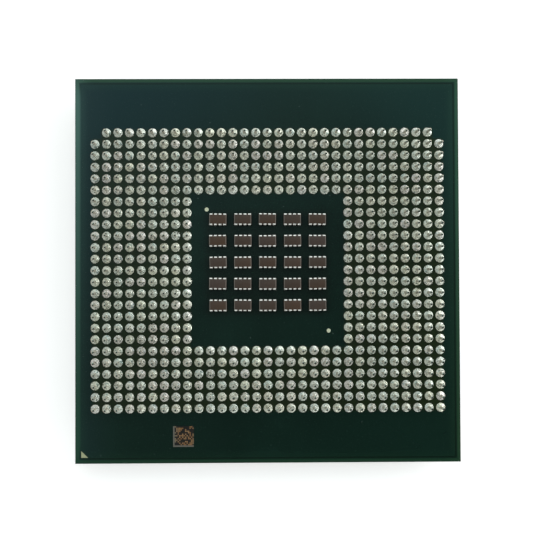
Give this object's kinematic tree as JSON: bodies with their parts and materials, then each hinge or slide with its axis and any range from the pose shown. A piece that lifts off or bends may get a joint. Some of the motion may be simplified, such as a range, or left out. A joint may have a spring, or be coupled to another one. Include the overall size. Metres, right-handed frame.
{
  "type": "computer processor",
  "caption": "Square pin-grid processor package lying pins up: dark green substrate, silver solder joints, brown capacitors in the empty middle and a flat metal lid underneath.",
  "frame": {"origin": "middle of the heat spreader's outer face, which the part lies on", "axes": "+Z from the lid towards the pin tips, +X along the pin rows, +Y from the pin-one row to the keyed row"},
  "size_m": [0.0426, 0.0426, 0.0055],
  "materials": {
    "nickel_plate": "satin nickel plate on copper",
    "sealant": "matt cured adhesive",
    "thermal_gel": "soft filled polymer",
    "silicon": "polished silicon",
    "underfill_resin": "cured resin",
    "solder_mask": "semi-gloss solder mask over a glass laminate",
    "bare_gold": "thin gold flash, matt",
    "bare_copper": "etched copper, matt",
    "solder": "satin solder",
    "pin_plating": "pale gold over nickel",
    "capacitor_ceramic": "fired brown ceramic",
    "tinned_terminal": "bright tin"
  },
  "bodies": {
    "root": {"heat_spreader": "nickel_plate", "lid_sealant": "sealant", "thermal_interface": "thermal_gel", "processor_die": "silicon", "underfill": "underfill_resin", "package_substrate": "solder_mask", "pin_one_marker": "bare_gold", "fiducial_dots": "bare_gold", "code_pad": "bare_copper", "solder_joints_upper": "solder", "solder_joints_lower": "solder", "solder_joints_left": "solder", "solder_joints_right": "solder", "pin_row_a": "pin_plating", "pin_row_b": "pin_plating", "pin_row_c": "pin_plating", "pin_row_d": "pin_plating", "pin_row_e": "pin_plating", "pin_row_f": "pin_plating", "pin_row_g": "pin_plating", "pin_row_h": "pin_plating", "pin_row_j": "pin_plating", "pin_row_k": "pin_plating", "pin_row_l": "pin_plating", "pin_row_m": "pin_plating", "pin_row_n": "pin_plating", "pin_row_p": "pin_plating", "pin_row_r": "pin_plating", "pin_row_t": "pin_plating", "pin_row_u": "pin_plating", "pin_row_v": "pin_plating", "pin_row_w": "pin_plating", "pin_row_y": "pin_plating", "pin_row_aa": "pin_plating", "pin_row_ab": "pin_plating", "pin_row_ac": "pin_plating", "pin_row_ad": "pin_plating", "pin_row_ae": "pin_plating", "capacitor_bodies_row_1": "capacitor_ceramic", "capacitor_bodies_row_2": "capacitor_ceramic", "capacitor_bodies_row_3": "capacitor_ceramic", "capacitor_bodies_row_4": "capacitor_ceramic", "capacitor_bodies_row_5": "capacitor_ceramic", "capacitor_terminals_row_1": "tinned_terminal", "capacitor_terminals_row_2": "tinned_terminal", "capacitor_terminals_row_3": "tinned_terminal", "capacitor_terminals_row_4": "tinned_terminal", "capacitor_terminals_row_5": "tinned_terminal"}
  },
  "joints": []
}
